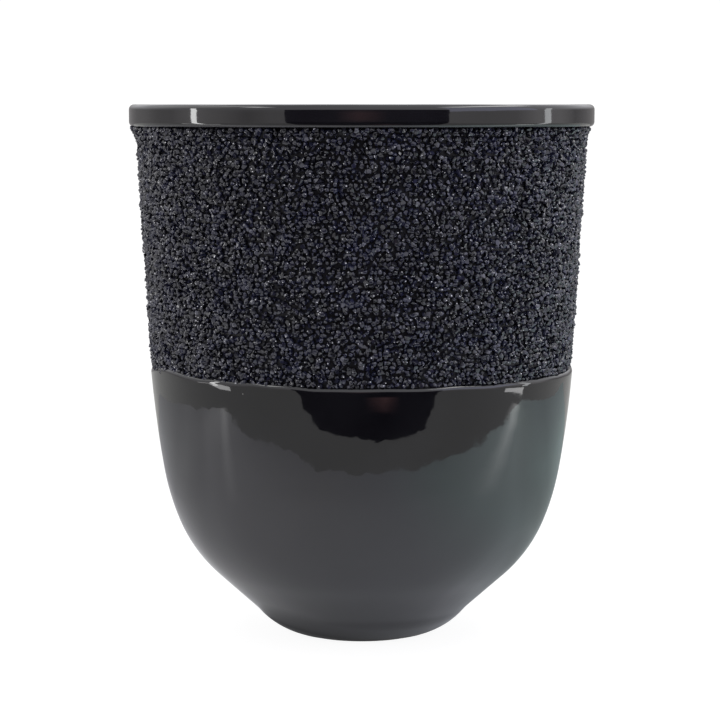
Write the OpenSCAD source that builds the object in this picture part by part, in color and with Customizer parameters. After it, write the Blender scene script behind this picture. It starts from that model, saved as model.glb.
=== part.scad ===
// Empty ceramic candle jar: a round bowl on a small foot, with an upright rim and,
// between rim and bowl, a shallow recess that carries a band of glued glass grit.
// Every piece is a solid of revolution about Z. The origin is the centre of the base.
// A lean is the angle, in degrees, between a surface and the upright.

/* [Rim] */
// Outside diameter of the rim
rim_d = 100; // [98:0.5:106]
// Height of the jar, from the base to the top of the rim
jar_h = 114.7; // [110:0.1:124]
// Height of the rim's upright face
rim_h = 4.7; // [3.8:0.1:6]
// Rounding of the rim's lower outside edge
rim_low_r = 1; // [0.5:0.1:1.2]
// Rounding of the rim's upper outside edge
rim_top_r = 1.1; // [0.6:0.1:1.6]
// Rounding of the rim's inside edge
lip_r = 1.6; // [0.8:0.1:2]

/* [Bowl] */
// Outside diameter of the bowl at the ledge below the grit
ledge_d = 91.4; // [90:0.2:95]
// Height of the ledge above the base
ledge_z = 58; // [57:0.5:62]
// Rounding of the ledge's outside edge
ledge_edge_r = 0.9; // [0.5:0.1:1.2]
// Radius of the gently curved side
side_r = 268; // [240:1:300]
// Radius of the upper belly
belly_upper_r = 52.4; // [48:0.2:56]
// Radius of the lower belly
belly_lower_r = 31.7; // [29:0.1:34]
// Lean of the side at the ledge
side_lean = 5.2; // [4.6:0.1:5.8]
// Lean where the side runs into the upper belly
belly_lean = 9.7; // [9:0.1:10.4]
// Lean where the upper belly runs into the lower one
tuck_lean = 22.4; // [21:0.1:24]
// Lean of the straight flare between the belly and the foot
flare_lean = 48.1; // [46:0.1:49]

/* [Foot] */
// Radius of the foot's rounded flank
foot_r = 16.2; // [14:0.2:17]
// Radius of the hollow curve between the flare and the foot
hollow_r = 12; // [3:1:20]
// Lean of the foot's flank at its top
flank_lean = 40.8; // [40:0.1:44]
// Lean of the foot's flank where it meets the flat base
base_lean = 78.2; // [76:0.1:80]

/* [Inside] */
// Thickness of the bowl's wall, glaze included
wall_t = 5; // [4.4:0.1:5.2]
// Lean of the straight inside wall
inside_lean = 3.6; // [3.2:0.1:4]
// Thickness of the floor, glaze included
floor_t = 7; // [6:0.1:8]
// Radius of the curve between the floor and the wall
floor_r = 14; // [10:0.5:15]

/* [Glaze and grit] */
// Thickness of the fired glaze
glaze_t = 0.3; // [0.2:0.05:0.4]
// Lean at which the glaze ends, just above the wiped base
glaze_end_lean = 71; // [68:0.5:73]
// Set-back of the grit's tips behind the rim's face
grit_back_top = 1.5; // [1.2:0.1:1.8]
// Set-back of the grit's tips behind the ledge
grit_back_low = 0.4; // [0.2:0.1:0.8]
// Thickness of the adhesive that holds the grit
glue_t = 0.45; // [0.3:0.05:0.6]
// Height of the grains above the adhesive
grain_t = 0.75; // [0.5:0.05:0.9]
// Bare strip between the grit and the rim, and between the grit and the ledge
grit_gap = 0.25; // [0.1:0.05:0.5]

/* [Hidden] */

// Largest gap between a curve and its chords
chord_gap = 0.01;
// Sides of each turned solid
turn_sides = 180;

// Outward normal of a surface that leans by the given angle
function facing(lean) = [cos(lean), -sin(lean)];

// Direction down a surface that leans by the given angle
function down(lean) = [-sin(lean), -cos(lean)];

// Number of chords that keep an arc within chord_gap
function chords(r, sweep) = ceil(abs(sweep) / (2 * acos(1 - chord_gap / r)));

// Points of an arc about a centre, between two angles counted from the horizontal
function bend(centre, r, from, to) =
    let (n = chords(r, to - from))
    [for (i = [0 : n]) let (a = from + (to - from) * i / n) centre + r * [cos(a), sin(a)]];

function reversed(points) = [for (i = [len(points) - 1 : -1 : 0]) points[i]];

// Bowl, from the ledge downwards: each curve runs into the next without a kink
ledge_edge_c = [ledge_d / 2 - ledge_edge_r, ledge_z - ledge_edge_r];
side_c = ledge_edge_c + (ledge_edge_r - side_r) * facing(side_lean);
belly_upper_c = side_c + (side_r - belly_upper_r) * facing(belly_lean);
belly_lower_c = belly_upper_c + (belly_upper_r - belly_lower_r) * facing(tuck_lean);

// Foot: the straight flare is as long as the height that is left for it
foot_c_z = foot_r * sin(base_lean);
belly_end = belly_lower_c + belly_lower_r * facing(flare_lean);
flare_end_z = foot_c_z - (foot_r + hollow_r) * sin(flank_lean) + hollow_r * sin(flare_lean);
flare_len = (belly_end.y - flare_end_z) / cos(flare_lean);
flare_end = belly_end + flare_len * down(flare_lean);
hollow_c = flare_end + hollow_r * facing(flare_lean);
foot_c = hollow_c - (hollow_r + foot_r) * facing(flank_lean);

// Inside: the bowl's curves moved in by the wall, then a straight run to the floor's curve
floor_inset = belly_lower_r - wall_t - floor_r;
inside_run_drop = belly_lower_c.y - floor_inset * sin(flare_lean) - floor_t - floor_r;
inside_run = inside_run_drop / cos(flare_lean);
floor_c = belly_lower_c + floor_inset * facing(flare_lean) + inside_run * down(flare_lean);

// Inside edge of the rim, at the top of the straight inside wall
inside_foot = side_c + (side_r - wall_t) * facing(inside_lean);
inside_rise = jar_h - lip_r + lip_r * sin(inside_lean) - inside_foot.y;
inside_top = inside_foot - inside_rise / cos(inside_lean) * down(inside_lean);
lip_c = inside_top + lip_r * facing(inside_lean);

// Rim and recess
rim_z = jar_h - rim_h;
rim_low_c = [rim_d / 2 - rim_low_r, rim_z + rim_low_r];
rim_top_c = [rim_d / 2 - rim_top_r, jar_h - rim_top_r];
tip_top_r = rim_d / 2 - grit_back_top;
tip_low_r = ledge_d / 2 - grit_back_low;
grit_low_z = ledge_z + grit_gap;
grit_top_z = rim_z - grit_gap;

// Radius of the grit's tips at a height, and of the glazed wall behind the grit
function tip_r(z) = tip_low_r + (tip_top_r - tip_low_r) * (z - ledge_z) / (rim_z - ledge_z);
function recess_r(z) = tip_r(z) - grain_t - glue_t;

// Outline of the vessel, moved out of the clay by out: from a lean on the foot, up the
// outside, over the rim and down the inside to the middle of the floor
function outline(out, start_lean) = concat(
    bend(foot_c, foot_r + out, -start_lean, -flank_lean),
    bend(hollow_c, hollow_r - out, 180 - flank_lean, 180 - flare_lean),
    bend(belly_lower_c, belly_lower_r + out, -flare_lean, -tuck_lean),
    bend(belly_upper_c, belly_upper_r + out, -tuck_lean, -belly_lean),
    bend(side_c, side_r + out, -belly_lean, -side_lean),
    bend(ledge_edge_c, ledge_edge_r + out, -side_lean, 90),
    [[recess_r(ledge_z) + out, ledge_z + out]],
    [[recess_r(rim_z) + out, rim_z - out]],
    bend(rim_low_c, rim_low_r + out, -90, 0),
    bend(rim_top_c, rim_top_r + out, 0, 90),
    bend(lip_c, lip_r + out, 90, 180 - inside_lean),
    bend(side_c, side_r - wall_t - out, -inside_lean, -belly_lean),
    bend(belly_upper_c, belly_upper_r - wall_t - out, -belly_lean, -tuck_lean),
    bend(belly_lower_c, belly_lower_r - wall_t - out, -tuck_lean, -flare_lean),
    bend(floor_c, floor_r - out, -flare_lean, -90),
    [[0, floor_t + out]]
);

// A solid turned about Z from a half section
module turned(half_section) {
    rotate_extrude($fn = turn_sides) polygon(half_section);
}

// The one-piece clay vessel under its glaze, with a bare flat base
module clay_body() {
    surface_points = outline(-glaze_t, base_lean);
    base_r = surface_points[0].x;
    color([0.16, 0.15, 0.14])
        turned(concat([[0, 0], [base_r, 0]], surface_points));
}

// The glass-like skin fired onto the clay, inside and out, down to just above the base
module glaze_coat() {
    color([0.10, 0.105, 0.11])
        turned(concat(outline(0, glaze_end_lean), reversed(outline(-glaze_t, glaze_end_lean))));
}

// The resin brushed into the recess, which beds the grains
module adhesive_coat() {
    color([0.03, 0.03, 0.035])
        turned([
            [recess_r(ledge_z), ledge_z],
            [recess_r(ledge_z) + glue_t, ledge_z],
            [recess_r(rim_z) + glue_t, rim_z],
            [recess_r(rim_z), rim_z],
        ]);
}

// The packed layer of glass grains, as the ring that their tips and the adhesive bound
module grain_band() {
    color([0.14, 0.14, 0.18])
        turned([
            [recess_r(grit_low_z) + glue_t, grit_low_z],
            [tip_r(grit_low_z), grit_low_z],
            [tip_r(grit_top_z), grit_top_z],
            [recess_r(grit_top_z) + glue_t, grit_top_z],
        ]);
}

clay_body();
glaze_coat();
adhesive_coat();
grain_band();
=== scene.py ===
"""Looks for the candle jar: a slip-cast bowl with a black glaze and a band of glued glass grit.

Everything is in metres in the CAD frame: the jar stands on z = 0, its axis is +Z, and the camera looks
along +Y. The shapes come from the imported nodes' own half sections. An azimuth or bearing is counted
from the camera's side, with +X at 90 degrees.
"""
import math
import bmesh
import bpy
import numpy as np
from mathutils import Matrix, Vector, noise


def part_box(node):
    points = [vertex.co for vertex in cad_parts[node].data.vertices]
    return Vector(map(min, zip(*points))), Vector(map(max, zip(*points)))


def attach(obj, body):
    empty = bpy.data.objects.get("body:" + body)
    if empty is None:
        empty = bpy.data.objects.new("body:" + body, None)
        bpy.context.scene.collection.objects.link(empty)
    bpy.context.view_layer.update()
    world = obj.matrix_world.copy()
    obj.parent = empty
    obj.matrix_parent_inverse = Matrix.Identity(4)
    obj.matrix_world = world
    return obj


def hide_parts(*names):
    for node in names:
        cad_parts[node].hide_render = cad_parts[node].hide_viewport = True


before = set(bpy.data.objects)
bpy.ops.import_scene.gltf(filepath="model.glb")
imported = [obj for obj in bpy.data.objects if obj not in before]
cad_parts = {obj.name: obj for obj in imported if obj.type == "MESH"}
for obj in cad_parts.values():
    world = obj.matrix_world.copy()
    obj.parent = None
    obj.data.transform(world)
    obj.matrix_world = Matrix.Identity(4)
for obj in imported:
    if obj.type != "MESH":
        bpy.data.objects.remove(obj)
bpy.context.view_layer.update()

MM = 0.001
SEED = 20
# Closer than this to the axis or to a plane counts as on it
ON_IT = 1e-6

# Camera: a long lens level with the rim, tipped down a little. Tilt in degrees, lens and sensor in mm.
CAMERA_PLACE = (-0.37 * MM, -545 * MM, 114.5 * MM)
CAMERA_TILT = 5.779
CAMERA_LENS = 125.82
SENSOR = 36.0

# Surroundings. The jar stands in a small light tent: a white sheet below it, a slanted light strip and
# a small card at each side, a bar overhead at each side, two windows, and a dark room behind the
# camera. The world is the tent's walls, which lead up into its top between two heights of a direction.
# HORIZON and DOME give their brightness by bearing in degrees.
WHITE = 1.06
HORIZON = [
    (-180, 0.28), (-145, 0.31), (-130, 0.42), (-116, 0.42), (-105, 0.49), (-88, 0.93), (-71, 0.76),
    (-57, 0.51), (-44, 0.70), (44, 0.78), (62, 0.72), (80, 0.69), (95, 1.0), (112, 0.78), (128, 0.31),
    (150, 0.30), (180, 0.28),
]
HORIZON_TINT = (1.0, 0.97, 0.98)
DOME = [(-180, 1.0), (-90, 0.80), (0, 1.03), (90, 1.15), (180, 1.0)]
DOME_TINT = (1.0, 1.0, 1.04)
DOME_FROM, DOME_TO = 0.05, 0.28
BACKDROP_RADIUS = 6.0
FLOOR_HALF = 3.0
TABLE_HALF = 0.6
FLOOR_GLOW = 0.93
FLOOR_ALBEDO = 0.13
SHEET_GLOW = 0.265
SHEET_ALBEDO = 0.63
# The sheet's painted light and shade, with its tint, from left to right in front of the jar and behind
# it, its painted fall-off of light in depth, and the stretches of X and Y over which these run
SHEET_ACROSS = (-0.22, 0.22)
SHEET_BEHIND = (0.0, 0.05)
SHEET_ALONG = (-0.13, 0.27)
SHEET_FRONT = [
    (0.0, (0.90, 0.90, 0.91)), (0.14, (0.86, 0.86, 0.88)), (0.27, (0.97, 0.97, 0.99)),
    (0.41, (1.04, 1.04, 1.06)), (0.55, (0.97, 1.0, 1.04)), (0.68, (0.97, 1.14, 1.12)),
    (1.0, (1.04, 1.20, 1.16)),
]
SHEET_BACK = [
    (0.0, (1.19, 1.20, 1.21)), (0.14, (1.12, 1.13, 1.14)), (0.27, (1.01, 1.01, 1.03)),
    (0.41, (1.26, 1.26, 1.28)), (0.55, (0.68, 0.73, 0.725)), (0.68, (0.68, 0.78, 0.76)),
    (0.84, (1.02, 1.24, 1.20)), (1.0, (1.1, 1.28, 1.26)),
]
SHEET_DEPTH = [
    (0.0, 0.72), (0.06, 0.82), (0.13, 0.95), (0.21, 1.05), (0.29, 1.0), (0.35, 0.79), (0.42, 0.66),
    (0.55, 0.50), (1.0, 0.38),
]
# Soft shadows on the sheet: centre, then the share of light near it and far from it, and the distances
# at which these hold
SHADOWS = [
    ((34 * MM, 24 * MM, 0), (0.68, 1.0, 12 * MM, 38 * MM)),
    ((-3 * MM, 3 * MM, 0), (0.3, 1.0, 18.5 * MM, 23.5 * MM)),
]
# Gap between staging panels that lie on one another
LAYER = 0.02 * MM
# The sheet's and the dark table's wavy edges
CREASE_STEP = 3 * MM
CREASE_LENGTH = 13 * MM
SHEET_CREASE = 5 * MM
TABLE_CREASE = 4 * MM
# Brightness of the tent's glowing parts
TABLE_DARK, TABLE_GREY, ROOM_DARK = 0.012, 0.56, 0.07
WARM_CARD, WARM_PATCH = 0.30, 0.50
STRIP_LEFT, STRIP_RIGHT = 9.0, 3.7
CARD, BAR = 4.0, 5.6
POOL_LEFT, POOL_RIGHT = 0.7, 1.7
WINDOW_LEFT, WINDOW_RIGHT = 1.4, 2.0

# Edges that turn by more than this many degrees stay sharp
SHARP_EDGE = 38

# Glaze
GLAZE_SIDES = 240
GLAZE_STEP = 1.2 * MM
GLAZE_WAVE = 0.06 * MM
GLAZE_WAVE_LENGTH = 17 * MM
GLAZE_RIPPLE = 0.014 * MM
GLAZE_RIPPLE_LENGTH = 4.5 * MM
# Where the glaze has crept up over the lowest grains: azimuth and half width in degrees, and rise
LEDGE_RUNS = [(-64, 17, 1.4 * MM), (-33, 20, 0.62 * MM), (104, 20, 0.6 * MM), (171, 14, 1.1 * MM)]
# How far the ledge rises elsewhere, and the length of its unevenness
LEDGE_RISE = 0.25 * MM
LEDGE_RISE_LENGTH = 7 * MM
# The ledge's rounded edge rises whole, and the rise fades out over a stretch below it
LEDGE_EDGE = 1.0 * MM
LEDGE_FADE = 3.0 * MM
# Glaze that is higher than this above the ledge is the recess or the rim, and stays where it is
LEDGE_CLEAR = 0.1 * MM

# Resin under the grit
RESIN_SIDES = 560
RESIN_STEP = 0.55 * MM
RESIN_LUMP = 0.12 * MM
RESIN_LUMP_LENGTH = 0.9 * MM
RESIN_DIP = 0.12 * MM
# The strip at its upper and lower edges that keeps its place
RESIN_EDGE = 0.2 * MM

# Grit. Jitter, margins, sizes and rise are shares of the pitch or of the grain's size.
GRAIN_PITCH = 1.04 * MM
GRAIN_JITTER = 0.33
GRAIN_MARGIN_LOW, GRAIN_MARGIN_HIGH = 0.3, 0.1
ROW_SHIFT = 0.2
# The grains' seats lie on a ring that is this share of the band's outside
SEAT_RING = 0.97
GRAIN_SHAPES = 48
GRAIN_CORNERS = 16
# How far in a chip's corners may lie, and how wide and how thick it is for its length
CHIP_CORNER = (0.86, 1.0)
CHIP_WIDTH = (0.76, 1.0)
CHIP_THICKNESS = (0.66, 0.92)
GRAIN_SIZE = (1.12, 1.60)
GRAIN_RISE = 0.25
GRAIN_SHARP = 48
GRAIN_SECTORS = 8
# Painted glints on the grains: pale spots of base colour that stand in for sparkles of light, one in
# each cell of this pitch, and the colour by the distance from it as a share of the pitch
PAINTED_GLINT_PITCH = 0.95 * MM
PAINTED_GLINT = [(0.10, (0.62, 0.62, 0.65)), (0.14, (0, 0, 0))]
# The share of grains that stand out from the rest, and by how much
LOOSE_SHARE = 0.22
LOOSE_SPREAD = (0.3, 1.0)
LOOSE_LIFT = 0.26 * MM
# How much prouder the grit stands just under the rim, the stretch over which that grows and how
# quickly, and where it is prouder still, as azimuth and half width in degrees and height
COLLAR = 0.55 * MM
COLLAR_HEIGHT = 3.2 * MM
COLLAR_CURVE = 1.5
COLLAR_SHARE = 0.8
COLLAR_LUMPS = [(-90, 18, 1.1 * MM), (0, 70, 0.6 * MM), (150, 40, 0.6 * MM)]
# Depth and length of the slow heaps and hollows all over the grit
HEAP = 0.35 * MM
HEAP_LENGTH = 16 * MM


# ---------------------------------------------------------------- shapes

def half_section(node):
    """The node's outline where it crosses the XZ plane on the +X side, as (radius, height) points in
    order. A solid that reaches the axis gives an open line from axis to axis, and a ring gives a loop.
    The CAD mesh has no point in the middle of a flat disc, so the line's two ends are added there."""
    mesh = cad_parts[node].data
    place = {}
    for vertex in mesh.vertices:
        x, y, z = vertex.co
        if abs(y) < ON_IT and x > -ON_IT:
            place[vertex.index] = (round(x, 7), round(z, 7))
    beside = {}
    for edge in mesh.edges:
        a, b = (place.get(i) for i in edge.vertices)
        if a and b and a != b:
            beside.setdefault(a, set()).add(b)
            beside.setdefault(b, set()).add(a)
    ends = sorted(p for p in beside if len(beside[p]) == 1)
    line = [ends[0] if ends else min(beside)]
    while True:
        ahead = [p for p in sorted(beside[line[-1]]) if p not in line[-2:] and p != line[0]]
        if not ahead or ahead[0] in line:
            break
        line.append(ahead[0])
    if ends:
        line = [(0.0, line[0][1]), *line, (0.0, line[-1][1])]
    if shoelace(line) < 0:
        line.reverse()
    return line


def shoelace(line):
    """Twice the area inside the line, positive if it runs anticlockwise with radius to the right."""
    return sum(a[0] * b[1] - b[0] * a[1] for a, b in zip(line, line[1:] + line[:1]))


def finer(line, step, closed, skip=frozenset()):
    """The line with points added so that no stretch is longer than step, but for those between two
    points in skip."""
    pairs = zip(line, line[1:] + line[:1]) if closed else zip(line, line[1:])
    fine = []
    for a, b in pairs:
        parts = 1 if a in skip and b in skip else max(1, math.ceil(math.dist(a, b) / step))
        fine += [tuple(p + (q - p) * k / parts for p, q in zip(a, b)) for k in range(parts)]
    return fine if closed else fine + [line[-1]]


def outward(line, closed):
    """The unit normal at each point of an anticlockwise line, as (along radius, along height)."""
    points = np.array(line)
    if closed:
        along = np.roll(points, -1, 0) - np.roll(points, 1, 0)
    else:
        along = np.gradient(points, axis=0)
    normal = np.stack([along[:, 1], -along[:, 0]], 1)
    return normal / np.linalg.norm(normal, axis=1)[:, None]


def turned(name, line, closed, sides, bulge):
    """The line turned about +Z. bulge gives how far a point moves along its normal and straight up,
    from the ring's number and the point."""
    normals = outward(line, closed)
    angles = [math.tau * k / sides for k in range(sides)]
    vertices, rings = [], []
    for number, ((radius, height), (out, up)) in enumerate(zip(line, normals)):
        start = len(vertices)
        if radius < ON_IT:
            lift, rise = bulge(number, Vector((0, 0, height)))
            vertices.append((0, 0, height + up * lift + rise))
            rings.append([start] * sides)
            continue
        for angle in angles:
            c, s = math.cos(angle), math.sin(angle)
            lift, rise = bulge(number, Vector((radius * c, radius * s, height)))
            reach = radius + out * lift
            vertices.append((reach * c, reach * s, height + up * lift + rise))
        rings.append(list(range(start, start + sides)))
    faces = []
    for low, high in zip(rings, rings[1:] + rings[:1] if closed else rings[1:]):
        for k in range(sides):
            n = (k + 1) % sides
            corners = list(dict.fromkeys([low[k], low[n], high[n], high[k]]))
            if len(corners) > 2:
                faces.append(corners)
    mesh = bpy.data.meshes.new(name)
    mesh.from_pydata(vertices, [], faces)
    mesh.polygons.foreach_set("use_smooth", [True] * len(mesh.polygons))
    mesh.set_sharp_from_angle(angle=math.radians(SHARP_EDGE))
    return mesh


def add_piece(name, mesh, material, replaced):
    """A piece of the jar on its one body, standing for a CAD node."""
    piece = bpy.data.objects.new(name, mesh)
    bpy.context.scene.collection.objects.link(piece)
    mesh.materials.append(material)
    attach(piece, "root")
    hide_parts(replaced)


def runs_at(point, runs):
    """The height, at the point, of smooth runs round the jar. Each is (azimuth, half width, height)."""
    azimuth = math.degrees(math.atan2(point.x, -point.y))
    away = [abs((azimuth - centre + 180) % 360 - 180) / half for centre, half, _ in runs]
    return sum(height * max(0.0, 1 - a * a) for a, (_, _, height) in zip(away, runs))


def ledge_rise(point):
    """How far the glaze's ledge stands above its place in the CAD, next to the point."""
    rough = noise.noise(Vector((point.x, point.y, 0)) / LEDGE_RISE_LENGTH)
    return LEDGE_RISE * (1 + rough) + runs_at(point, LEDGE_RUNS)


def heap(point, top):
    """How much prouder than in the CAD the grit stands at the point."""
    rough = noise.noise(point / HEAP_LENGTH)
    near_rim = min(1.0, max(0.0, 1 - (top - point.z) / COLLAR_HEIGHT)) ** COLLAR_CURVE
    collar = COLLAR * (COLLAR_SHARE + rough) + runs_at(point, COLLAR_LUMPS)
    return HEAP * rough + near_rim * collar


def make_glaze(material):
    """The glaze on every face but the base, with the slow waves and fine ripple of a poured coat. Here
    and there along the ledge it has crept up over the lowest grains."""
    section = half_section("glaze_coat")
    touching = set(half_section("clay_body")) | set(half_section("adhesive_coat"))
    line = finer(section, GLAZE_STEP, False, skip=touching)
    covered = [p in touching for p in line]
    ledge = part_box("adhesive_coat")[0].z

    def wave(number, point):
        if covered[number]:
            return 0.0, 0.0
        slow = noise.noise(point / GLAZE_WAVE_LENGTH)
        fast = noise.noise(point / GLAZE_RIPPLE_LENGTH)
        lift = GLAZE_WAVE * slow + GLAZE_RIPPLE * fast
        below = ledge - LEDGE_EDGE - point.z
        if point.z > ledge + LEDGE_CLEAR or below > LEDGE_FADE:
            return lift, 0.0
        return lift, ledge_rise(point) * (1 - max(0.0, below) / LEDGE_FADE)

    mesh = turned("glaze", line, False, GLAZE_SIDES, wave)
    add_piece("glaze", mesh, material, "glaze_coat")


def make_resin(material):
    """The black resin that holds the grit, lumpy where it has crept up between the grains."""
    section = half_section("adhesive_coat")
    behind = set(half_section("clay_body")) | set(half_section("glaze_coat"))
    line = finer(section, RESIN_STEP, True, skip=behind)
    normals = outward(line, True)
    low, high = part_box("adhesive_coat")

    def lump(number, point):
        edge = min(point.z - low.z, high.z - point.z)
        faces_out = normals[number][0] > 0.5
        if not faces_out or edge < RESIN_EDGE:
            return 0.0, 0.0
        small = RESIN_LUMP * noise.noise(point / RESIN_LUMP_LENGTH)
        return small - RESIN_DIP + max(0.0, heap(point, high.z)), 0.0

    mesh = turned("resin", line, True, RESIN_SIDES, lump)
    add_piece("resin", mesh, material, "adhesive_coat")


# ---------------------------------------------------------------- grit

def chip_shapes(rng):
    """The different broken-glass shapes, as (corners, triangles), about one unit across."""
    shapes = []
    for _ in range(GRAIN_SHAPES):
        points = rng.normal(size=(GRAIN_CORNERS, 3))
        points /= np.linalg.norm(points, axis=1)[:, None]
        points *= rng.uniform(*CHIP_CORNER, (GRAIN_CORNERS, 1))
        points *= np.array([1.0, rng.uniform(*CHIP_WIDTH), rng.uniform(*CHIP_THICKNESS)]) / 2
        bm = bmesh.new()
        for point in points:
            bm.verts.new(point)
        hull = bmesh.ops.convex_hull(bm, input=bm.verts)
        bmesh.ops.delete(bm, geom=hull["geom_interior"], context="VERTS")
        bmesh.ops.triangulate(bm, faces=bm.faces)
        bm.verts.index_update()
        corners = np.array([v.co for v in bm.verts])
        triangles = np.array([[v.index for v in f.verts] for f in bm.faces])
        bm.free()
        shapes.append((corners, triangles))
    return shapes


def grain_places(rng):
    """Azimuth and height of each grain: staggered rows, each grain pushed a little out of its row."""
    low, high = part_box("grain_band")
    radius = (high.x - low.x) / 2
    rows = round((high.z - low.z) / (GRAIN_PITCH * math.sqrt(3) / 2))
    count = round(math.tau * radius * SEAT_RING / GRAIN_PITCH)
    lowest = low.z + GRAIN_MARGIN_LOW * GRAIN_PITCH
    highest = high.z - GRAIN_MARGIN_HIGH * GRAIN_PITCH
    pitch_up = (highest - lowest) / (rows - 1)
    places = []
    for row in range(rows):
        height = lowest + row * pitch_up
        turn = 0.5 * (row % 2) + rng.uniform(-ROW_SHIFT, ROW_SHIFT)
        for k in range(count):
            aside, up = rng.uniform(-GRAIN_JITTER, GRAIN_JITTER, 2)
            azimuth = math.tau * (k + turn + aside) / count
            places.append((azimuth, min(highest, max(lowest, height + up * pitch_up))))
    return np.array(places)


def random_turns(rng, count):
    """One random rotation matrix for each grain."""
    q = rng.normal(size=(count, 4))
    w, x, y, z = (q / np.linalg.norm(q, axis=1)[:, None]).T
    rows = [
        [1 - 2 * (y * y + z * z), 2 * (x * y - w * z), 2 * (x * z + w * y)],
        [2 * (x * y + w * z), 1 - 2 * (x * x + z * z), 2 * (y * z - w * x)],
        [2 * (x * z - w * y), 2 * (y * z + w * x), 1 - 2 * (x * x + y * y)],
    ]
    return np.array(rows).transpose(2, 0, 1)


def resin_face():
    """The foot and the top of the resin's outer face, as (radius, height)."""
    resin = sorted(half_section("adhesive_coat"), key=lambda p: p[1])
    foot = max(p for p in resin if p[1] == resin[0][1])
    top = max(p for p in resin if p[1] == resin[-1][1])
    return foot, top


def ring_points(azimuths, radii, heights):
    """The points at those azimuths, radii and heights."""
    return np.stack([radii * np.sin(azimuths), -radii * np.cos(azimuths), heights], 1)


def grain_reach(rng, azimuths, heights, size):
    """The radius of each grain's middle. It sits on the resin, heaped as the resin is, and some grains
    stand out further."""
    count = len(size)
    foot, top = resin_face()
    seat = np.interp(heights, [foot[1], top[1]], [foot[0], top[0]])
    loose = (rng.random(count) < LOOSE_SHARE) * rng.uniform(*LOOSE_SPREAD, count) * LOOSE_LIFT
    heaped = np.array([heap(Vector(spot), top[1]) for spot in ring_points(azimuths, seat, heights)])
    return seat + size * GRAIN_RISE + loose + heaped


def grit_mesh(name, grains):
    """One mesh of closed chips, from the corners, triangles and tint of each grain."""
    vertices, faces, tints, start = [], [], [], 0
    for corners, triangles, tint in grains:
        vertices.append(corners)
        faces.append(triangles + start)
        tints.append(np.full(len(corners), tint))
        start += len(corners)
    mesh = bpy.data.meshes.new(name)
    mesh.from_pydata(np.concatenate(vertices).tolist(), [], np.concatenate(faces).tolist())
    mesh.polygons.foreach_set("use_smooth", [True] * len(mesh.polygons))
    mesh.set_sharp_from_angle(angle=math.radians(GRAIN_SHARP))
    shade = mesh.attributes.new("grain_tint", "FLOAT", "POINT")
    shade.data.foreach_set("value", np.concatenate(tints).astype(np.float32))
    return mesh


def make_grit(material):
    """The grains, in sectors round the band. Each is a closed chip with its lower part in the resin."""
    rng = np.random.default_rng(SEED)
    shapes = chip_shapes(rng)
    azimuths, heights = grain_places(rng).T
    count = len(heights)
    size = GRAIN_PITCH * rng.uniform(*GRAIN_SIZE, count)
    reach = grain_reach(rng, azimuths, heights, size)
    chosen = rng.integers(0, len(shapes), count)
    turns = random_turns(rng, count)
    tint = rng.random(count)
    centres = ring_points(azimuths, reach, heights)
    sector = (np.mod(azimuths, math.tau) / math.tau * GRAIN_SECTORS).astype(int) % GRAIN_SECTORS
    for number in range(GRAIN_SECTORS):
        grains = []
        for g in np.flatnonzero(sector == number):
            corners, triangles = shapes[chosen[g]]
            grains.append((corners * size[g] @ turns[g].T + centres[g], triangles, tint[g]))
        mesh = grit_mesh(f"grit_{number + 1}", grains)
        add_piece(mesh.name, mesh, material, "grain_band")


# ---------------------------------------------------------------- materials

def new_material(name):
    """A fresh node material: (material, its nodes, its links, its Principled shader)."""
    material = bpy.data.materials.new(name)
    material.use_nodes = True
    nodes, links = material.node_tree.nodes, material.node_tree.links
    return material, nodes, links, nodes["Principled BSDF"]


def noise_node(nodes, links, size, detail=2.0, roughness=0.5):
    """Noise whose lumps are about size across, in the jar's own frame."""
    place = nodes.new("ShaderNodeTexCoord")
    texture = nodes.new("ShaderNodeTexNoise")
    texture.inputs["Scale"].default_value = 1 / size
    texture.inputs["Detail"].default_value = detail
    texture.inputs["Roughness"].default_value = roughness
    links.new(place.outputs["Object"], texture.inputs["Vector"])
    return texture.outputs["Fac"]


def ramp_node(nodes, links, source, stops):
    """A colour ramp over (position, colour) stops."""
    ramp = nodes.new("ShaderNodeValToRGB")
    while len(ramp.color_ramp.elements) < len(stops):
        ramp.color_ramp.elements.new(0.5)
    for element, (position, colour) in zip(ramp.color_ramp.elements, stops):
        element.position = position
        element.color = (*colour, 1)
    links.new(source, ramp.inputs["Fac"])
    return ramp.outputs["Color"]


def grey_stops(stops):
    """Ramp stops for (position, brightness) pairs."""
    return [(position, (value,) * 3) for position, value in stops]


def range_node(nodes, links, source, low, high, start=0.3, end=0.7):
    """source from start to end, stretched to run from low to high. Noise lies mostly between the start
    and end that are used where none are given."""
    node = nodes.new("ShaderNodeMapRange")
    for name, value in (("From Min", start), ("From Max", end), ("To Min", low), ("To Max", high)):
        node.inputs[name].default_value = value
    links.new(source, node.inputs["Value"])
    return node.outputs["Result"]


def mix_node(nodes, links, a, b, factor, blend="MIX"):
    """Two colours mixed. Each of a, b and factor is a socket or a plain value."""
    node = nodes.new("ShaderNodeMix")
    node.data_type = "RGBA"
    node.blend_type = blend
    for name, value in (("A", a), ("B", b), ("Factor", factor)):
        if isinstance(value, bpy.types.NodeSocket):
            links.new(value, node.inputs[name])
        else:
            node.inputs[name].default_value = value
    return node.outputs["Result"]


def bump_node(nodes, links, height, depth):
    """Bumps of that depth from a height between 0 and 1."""
    node = nodes.new("ShaderNodeBump")
    node.inputs["Strength"].default_value = 1.0
    node.inputs["Distance"].default_value = depth
    links.new(height, node.inputs["Height"])
    return node.outputs["Normal"]


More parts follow.
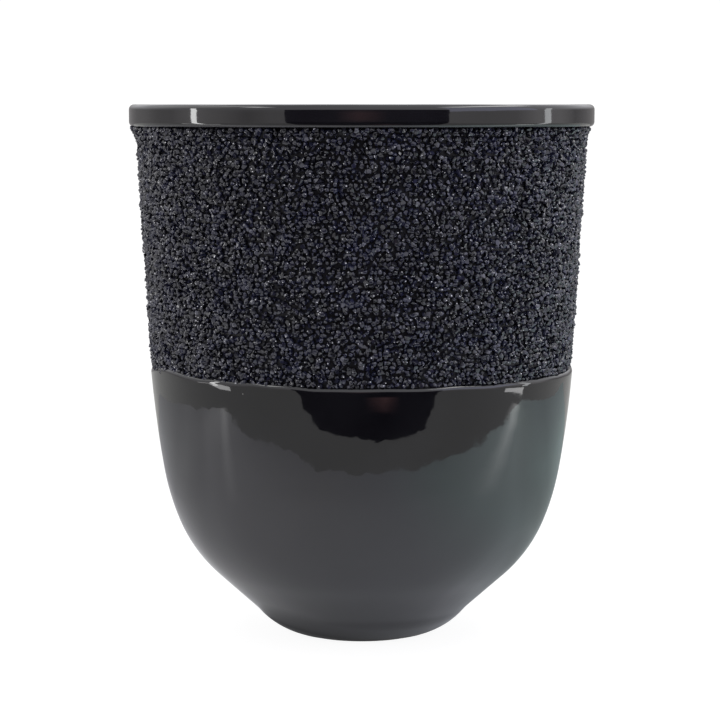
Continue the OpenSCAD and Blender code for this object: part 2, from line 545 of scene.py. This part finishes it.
def glaze_material():
    """Black gloss glaze: deep, mirror-bright, with a faint orange peel and a few pale pinholes."""
    material, nodes, links, shader = new_material("black_glaze_look")
    body = noise_node(nodes, links, 14 * MM, detail=3)
    dark, pale = (0.0032, 0.0030, 0.0042), (0.0062, 0.0060, 0.0076)
    colour = ramp_node(nodes, links, body, [(0.35, dark), (0.7, pale)])
    place = nodes.new("ShaderNodeTexCoord")
    cells = nodes.new("ShaderNodeTexVoronoi")
    cells.inputs["Scale"].default_value = 1 / (9 * MM)
    links.new(place.outputs["Object"], cells.inputs["Vector"])
    speck = ramp_node(
        nodes, links, cells.outputs["Distance"], [(0.010, (0.16, 0.16, 0.15)), (0.018, (0, 0, 0))]
    )
    links.new(mix_node(nodes, links, colour, speck, 1.0, "ADD"), shader.inputs["Base Color"])
    smear = noise_node(nodes, links, 6 * MM, detail=4)
    links.new(range_node(nodes, links, smear, 0.025, 0.06), shader.inputs["Roughness"])
    peel = noise_node(nodes, links, 1.6 * MM, detail=1)
    links.new(bump_node(nodes, links, peel, 0.004 * MM), shader.inputs["Normal"])
    shader.inputs["IOR"].default_value = 1.6
    return material


def clay_material():
    """Dark stoneware, bare only under the foot, with fine grog and pits."""
    material, nodes, links, shader = new_material("bare_clay_look")
    grog = noise_node(nodes, links, 0.5 * MM, detail=5, roughness=0.7)
    stops = [(0.35, (0.09, 0.085, 0.08)), (0.55, (0.16, 0.15, 0.14)), (0.75, (0.26, 0.25, 0.23))]
    links.new(ramp_node(nodes, links, grog, stops), shader.inputs["Base Color"])
    links.new(range_node(nodes, links, grog, 0.75, 0.95), shader.inputs["Roughness"])
    pits = noise_node(nodes, links, 0.35 * MM, detail=3)
    links.new(bump_node(nodes, links, pits, 0.06 * MM), shader.inputs["Normal"])
    return material


def resin_material():
    """Black resin, satin where it shows between the grains."""
    material, nodes, links, shader = new_material("black_adhesive_look")
    pool = noise_node(nodes, links, 1.5 * MM, detail=3)
    stops = [(0.35, (0.004, 0.004, 0.006)), (0.7, (0.008, 0.008, 0.013))]
    links.new(ramp_node(nodes, links, pool, stops), shader.inputs["Base Color"])
    links.new(range_node(nodes, links, pool, 0.3, 0.5), shader.inputs["Roughness"])
    shader.inputs["Specular IOR Level"].default_value = 0.3
    skin = noise_node(nodes, links, 0.25 * MM, detail=2)
    links.new(bump_node(nodes, links, skin, 0.03 * MM), shader.inputs["Normal"])
    return material


def grit_material():
    """Near-black glass chips, each its own shade from neutral to navy, a few painted pale as sparkle,
    with small painted glints and slightly dulled faces.
    """
    material, nodes, links, shader = new_material("glass_grit_look")
    grain = nodes.new("ShaderNodeAttribute")
    grain.attribute_name = "grain_tint"
    # The top few tints are pale: painted sparkle, chips made paler to stand in for glints of light
    tints = [
        (0.0, (0.007, 0.007, 0.010)),
        (0.5, (0.012, 0.012, 0.018)),
        (0.94, (0.014, 0.014, 0.028)),
        (1.0, (0.070, 0.070, 0.085)),
    ]
    own = ramp_node(nodes, links, grain.outputs["Fac"], tints)
    patch = noise_node(nodes, links, 3.5 * MM, detail=1)
    navy = ramp_node(nodes, links, patch, [(0.45, (0, 0, 0)), (0.65, (0.001, 0.002, 0.011))])
    # Painted glints: small pale spots in the base colour that stand in for sparkles of light
    place = nodes.new("ShaderNodeTexCoord")
    cells = nodes.new("ShaderNodeTexVoronoi")
    cells.inputs["Scale"].default_value = 1 / PAINTED_GLINT_PITCH
    links.new(place.outputs["Object"], cells.inputs["Vector"])
    painted_glint = ramp_node(nodes, links, cells.outputs["Distance"], PAINTED_GLINT)
    shade = mix_node(nodes, links, own, navy, 1.0, "ADD")
    links.new(mix_node(nodes, links, shade, painted_glint, 1.0, "ADD"), shader.inputs["Base Color"])
    dulled = noise_node(nodes, links, 0.5 * MM, detail=3)
    links.new(range_node(nodes, links, dulled, 0.03, 0.16), shader.inputs["Roughness"])
    chipped = noise_node(nodes, links, 0.22 * MM, detail=1)
    links.new(bump_node(nodes, links, chipped, 0.02 * MM), shader.inputs["Normal"])
    shader.inputs["IOR"].default_value = 1.58
    return material


# ---------------------------------------------------------------- staging

def set_camera():
    """A camera at the photographed angle, with no shift and no depth of field."""
    data = bpy.data.cameras.new("camera")
    data.lens = CAMERA_LENS
    data.sensor_width = SENSOR
    data.clip_start, data.clip_end = 0.01, 50
    camera = bpy.data.objects.new("camera", data)
    camera.location = CAMERA_PLACE
    camera.rotation_euler = (math.radians(90 - CAMERA_TILT), 0, 0)
    bpy.context.scene.collection.objects.link(camera)
    bpy.context.scene.camera = camera


def azimuth_node(nodes, links):
    """The bearing of a world direction, 0 to 1 for -180 to 180 degrees, and its height, -1 to 1."""
    place = nodes.new("ShaderNodeTexCoord")
    parts = nodes.new("ShaderNodeSeparateXYZ")
    links.new(place.outputs["Generated"], parts.inputs["Vector"])
    back = nodes.new("ShaderNodeMath")
    back.operation = "MULTIPLY"
    back.inputs[1].default_value = -1
    links.new(parts.outputs["Y"], back.inputs[0])
    angle = nodes.new("ShaderNodeMath")
    angle.operation = "ARCTAN2"
    links.new(parts.outputs["X"], angle.inputs[0])
    links.new(back.outputs[0], angle.inputs[1])
    share = range_node(nodes, links, angle.outputs[0], 0, 1, start=-math.pi, end=math.pi)
    return share, parts.outputs["Z"]


def bearing_stops(ring, tint):
    """Ramp stops for (bearing, brightness) pairs in one tint."""
    return [((a + 180) / 360, tuple(b * t for t in tint)) for a, b in ring]


def set_world():
    """The tent's walls and its top, each with its own brightness by bearing and its own tint."""
    world = bpy.data.worlds.new("tent")
    world.use_nodes = True
    nodes, links = world.node_tree.nodes, world.node_tree.links
    background = nodes["Background"]
    bearing, height = azimuth_node(nodes, links)
    walls, top = (
        ramp_node(nodes, links, bearing, bearing_stops(ring, tint))
        for ring, tint in ((HORIZON, HORIZON_TINT), (DOME, DOME_TINT))
    )
    rise = range_node(nodes, links, height, 0, 1, start=DOME_FROM, end=DOME_TO)
    links.new(mix_node(nodes, links, walls, top, rise), background.inputs["Color"])
    background.inputs["Strength"].default_value = WHITE
    bpy.context.scene.world = world
    bpy.context.scene.view_settings.view_transform = "Standard"


def glow_material(name, radiance, colour=(1, 1, 1)):
    """Light of one brightness from the whole surface."""
    material = bpy.data.materials.new(name)
    material.use_nodes = True
    nodes, links = material.node_tree.nodes, material.node_tree.links
    nodes.clear()
    light = nodes.new("ShaderNodeEmission")
    light.inputs["Color"].default_value = (*colour, 1)
    light.inputs["Strength"].default_value = radiance
    output = nodes.new("ShaderNodeOutputMaterial")
    links.new(light.outputs[0], output.inputs["Surface"])
    return material


def flat_panel(name, corners, material, layer=0):
    """One flat staging face. Panels on the ground lie in layers below it, so that none fight."""
    mesh = bpy.data.meshes.new(name)
    lowered = [(x, y, z - layer * LAYER) for x, y, z in corners]
    mesh.from_pydata(lowered, [], [list(range(len(corners)))])
    mesh.materials.append(material)
    panel = bpy.data.objects.new(name, mesh)
    bpy.context.scene.collection.objects.link(panel)
    return panel


def seen_by(panel, camera=False, mirror=False, light=False):
    """Which rays meet a staging panel: the camera's, reflected ones, and those that carry light."""
    panel.visible_camera = camera
    panel.visible_glossy = mirror
    panel.visible_diffuse = light
    panel.visible_shadow = light
    panel.visible_transmission = False


def glow_panel(name, corners, radiance, colour=(1, 1, 1), layer=0, light=True):
    """A flat panel of even brightness that reflected rays meet, and that gives light unless told not."""
    panel = flat_panel(name, corners, glow_material(name, radiance, colour), layer)
    seen_by(panel, mirror=True, light=light)


def square(half):
    """The corners of a square on the ground, round the axis."""
    return [(-half, -half, 0), (half, -half, 0), (half, half, 0), (-half, half, 0)]


def set_backdrop():
    """The white surround that the camera sees."""
    mesh = bpy.data.meshes.new("backdrop")
    bm = bmesh.new()
    bmesh.ops.create_uvsphere(bm, u_segments=48, v_segments=24, radius=BACKDROP_RADIUS)
    bm.to_mesh(mesh)
    bm.free()
    mesh.materials.append(glow_material("white_surround", WHITE))
    backdrop = bpy.data.objects.new("backdrop", mesh)
    bpy.context.scene.collection.objects.link(backdrop)
    seen_by(backdrop, camera=True)


def set_floor():
    """The pale floor that the camera sees. It glows, so that the jar's shadow on it is faint."""
    material = bpy.data.materials.new("pale_floor")
    material.use_nodes = True
    shader = material.node_tree.nodes["Principled BSDF"]
    shader.inputs["Base Color"].default_value = (FLOOR_ALBEDO,) * 3 + (1,)
    shader.inputs["Roughness"].default_value = 1.0
    shader.inputs["Specular IOR Level"].default_value = 0.0
    shader.inputs["Emission Color"].default_value = (1, 1, 1, 1)
    shader.inputs["Emission Strength"].default_value = FLOOR_GLOW
    seen_by(flat_panel("floor", square(FLOOR_HALF), material, layer=1), camera=True)


def sheet_material():
    """The white sheet under the jar: cooler on the right, and less lit towards the back."""
    material, nodes, links, shader = new_material("white_sheet")
    place = nodes.new("ShaderNodeTexCoord")
    parts = nodes.new("ShaderNodeSeparateXYZ")
    links.new(place.outputs["Object"], parts.inputs["Vector"])
    across = range_node(nodes, links, parts.outputs["X"], 0, 1, *SHEET_ACROSS)
    front = ramp_node(nodes, links, across, SHEET_FRONT)
    back = ramp_node(nodes, links, across, SHEET_BACK)
    behind = range_node(nodes, links, parts.outputs["Y"], 0, 1, *SHEET_BEHIND)
    tint = mix_node(nodes, links, front, back, behind)
    along = range_node(nodes, links, parts.outputs["Y"], 0, 1, *SHEET_ALONG)
    shade = ramp_node(nodes, links, along, grey_stops(SHEET_DEPTH))
    colour = mix_node(nodes, links, tint, shade, 1.0, "MULTIPLY")
    for centre, (dim, full, near, far) in SHADOWS:
        away = nodes.new("ShaderNodeVectorMath")
        away.operation = "DISTANCE"
        away.inputs[1].default_value = centre
        links.new(place.outputs["Object"], away.inputs[0])
        shadow = range_node(nodes, links, away.outputs["Value"], dim, full, near, far)
        colour = mix_node(nodes, links, colour, shadow, 1.0, "MULTIPLY")
    black = (0, 0, 0, 1)
    links.new(mix_node(nodes, links, black, colour, SHEET_ALBEDO), shader.inputs["Base Color"])
    links.new(colour, shader.inputs["Emission Color"])
    shader.inputs["Emission Strength"].default_value = SHEET_GLOW
    shader.inputs["Roughness"].default_value = 1.0
    shader.inputs["Specular IOR Level"].default_value = 0.0
    return material


def pool_material(name, radiance, colour, length):
    """Light added to what lies below. It fades to nothing at the sides, and along its length as the
    three brightnesses in length say."""
    material = bpy.data.materials.new(name)
    material.use_nodes = True
    nodes, links = material.node_tree.nodes, material.node_tree.links
    nodes.clear()
    uv = nodes.new("ShaderNodeTexCoord")
    parts = nodes.new("ShaderNodeSeparateXYZ")
    links.new(uv.outputs["UV"], parts.inputs["Vector"])
    across, along = (
        ramp_node(nodes, links, parts.outputs[axis], grey_stops(zip((0, 0.5, 1), shares)))
        for axis, shares in (("X", (0, 1, 0)), ("Y", length))
    )
    fade = nodes.new("ShaderNodeMath")
    fade.operation = "MULTIPLY"
    links.new(across, fade.inputs[0])
    links.new(along, fade.inputs[1])
    scale = nodes.new("ShaderNodeMath")
    scale.operation = "MULTIPLY"
    scale.inputs[1].default_value = radiance
    links.new(fade.outputs[0], scale.inputs[0])
    light = nodes.new("ShaderNodeEmission")
    light.inputs["Color"].default_value = (*colour, 1)
    links.new(scale.outputs[0], light.inputs["Strength"])
    clear = nodes.new("ShaderNodeBsdfTransparent")
    both = nodes.new("ShaderNodeAddShader")
    links.new(light.outputs[0], both.inputs[0])
    links.new(clear.outputs[0], both.inputs[1])
    output = nodes.new("ShaderNodeOutputMaterial")
    links.new(both.outputs[0], output.inputs["Surface"])
    return material


def fading_panel(name, corners, radiance, colour=(1, 1, 1), length=(0, 1, 0), layer=0):
    """A panel of light that fades from its middle to its sides."""
    panel = flat_panel(name, corners, pool_material(name, radiance, colour, length), layer)
    uv = panel.data.uv_layers.new(name="pool")
    for loop, place in zip(uv.data, [(0, 0), (1, 0), (1, 1), (0, 1)]):
        loop.uv = place
    seen_by(panel, mirror=True)


def light_pool(name, start, end, width, radiance):
    """A soft streak of light on the sheet, from the foot of a light strip towards the jar."""
    a, b = Vector(start), Vector(end)
    side = Vector((a.y - b.y, b.x - a.x, 0)).normalized() * width / 2
    corners = [tuple(p) for p in (a - side, a + side, b + side, b - side)]
    fading_panel(name, corners, radiance, length=(1, 0.45, 0), layer=2)


def light_strip(name, path, width, radiance, colour=(1, 1, 1)):
    """A glowing strip up a side wall along the path, as wide along Y as width."""
    front = [(x, y - width / 2, z) for x, y, z in path]
    back = [(x, y + width / 2, z) for x, y, z in reversed(path)]
    glow_panel(name, front + back, radiance, colour)


def in_mm(*points):
    """Points given in millimetres, as metres."""
    return [tuple(c * MM for c in point) for point in points]


def creased(corners, depth):
    """The outline with its edges pushed in and out a little, as the edge of a creased sheet is."""
    line = finer(corners, CREASE_STEP, True)
    moves = [noise.noise_vector(Vector(point) / CREASE_LENGTH) * depth for point in line]
    return [(x + move.x, y + move.y, z) for (x, y, z), move in zip(line, moves)]


def set_ground():
    """The sheet under the jar, and the darker table and room towards the camera, with a warm patch of
    light on each. The table, the room and the warm patches are glowing panels that only reflected rays
    meet."""
    sheet = in_mm(
        (-221, -58, 0), (-172, -88, 0), (-144, -94, 0), (-113, -118, 0), (-87, -126, 0), (-61, -124, 0),
        (-30, -128, 0), (35, -128, 0), (90, -113, 0), (138, -89, 0), (177, -56, 0), (223, -24, 0),
        (255, 3, 0), (262, 270, 0), (-228, 270, 0), (-248, 66, 0),
    )
    panel = flat_panel("sheet", creased(sheet, SHEET_CREASE), sheet_material(), layer=3)
    seen_by(panel, mirror=True, light=True)
    dark = in_mm(
        (-105, -192, 0), (-75, -170, 0), (-29, -164, 0), (16, -159, 0), (62, -154, 0), (103, -161, 0),
        (127, -179, 0), (960, -1060, 0), (-860, -1150, 0),
    )
    dark = creased(dark, TABLE_CREASE)
    glow_panel("dark_table", dark, TABLE_DARK, (0.9, 0.8, 1.0), layer=4, light=False)
    glow_panel("grey_table", square(TABLE_HALF), TABLE_GREY, (1.0, 1.0, 0.98), layer=5, light=False)
    room = in_mm((-860, -1150, -10), (960, -1060, -10), (960, -1060, 330), (-860, -1150, 330))
    glow_panel("dark_room", room, ROOM_DARK, (0.85, 0.75, 1.0), light=False)
    card = in_mm((-230, -1050, -40), (230, -1050, -40), (230, -1050, 300), (-230, -1050, 300))
    fading_panel("warm_card", card, WARM_CARD, (1.0, 0.5, 0.46))
    patch = in_mm((5, -200, 0), (65, -188, 0), (92, -268, 0), (5, -276, 0))
    fading_panel("warm_patch", patch, WARM_PATCH, (1.0, 0.52, 0.52), layer=2)


def set_lights():
    """The strips, cards, bars and windows at the tent's sides, and the strips' light on the sheet."""
    path = in_mm((-232, -50, 26), (-232, -41, 80), (-232, -41, 130), (-232, -28, 184))
    light_strip("left_strip", path, 15 * MM, STRIP_LEFT)
    path = in_mm((235, 0, 26), (235, 10, 80), (235, 10, 130), (235, 30, 184))
    light_strip("right_strip", path, 20 * MM, STRIP_RIGHT, (0.96, 0.98, 1.0))
    card = in_mm(
        (-232, -90, 10), (-232, -60, 16), (-232, 0, 50), (-232, 0, 62), (-232, -60, 32), (-232, -90, 24)
    )
    glow_panel("left_card", card, CARD)
    card = in_mm((235, -57, 7), (235, -3, 7), (235, -3, 22), (235, -57, 22))
    glow_panel("right_card", card, CARD)
    light_pool("left_pool", *in_mm((-222, -64, 0), (-80, -36, 0)), 24 * MM, POOL_LEFT)
    light_pool("right_pool", *in_mm((238, -17, 0), (88, -58, 0)), 32 * MM, POOL_RIGHT)
    bar = in_mm((-315, -200, 420), (-225, -200, 420), (-225, 200, 420), (-315, 200, 420))
    glow_panel("left_bar", bar, BAR)
    bar = in_mm((190, -200, 420), (275, -200, 420), (275, 200, 420), (190, 200, 420))
    glow_panel("right_bar", bar, BAR)
    window = in_mm((-300, -90, 250), (-300, 240, 250), (-220, 240, 470), (-220, -90, 470))
    glow_panel("left_window", window, WINDOW_LEFT)
    window = in_mm((350, -400, 150), (500, 0, 150), (430, 0, 450), (300, -350, 450))
    glow_panel("right_window", window, WINDOW_RIGHT, (0.80, 0.81, 1.0))


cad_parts["clay_body"].material_slots[0].material = clay_material()
make_glaze(glaze_material())
make_resin(resin_material())
make_grit(grit_material())
set_camera()
set_world()
set_backdrop()
set_floor()
set_ground()
set_lights()
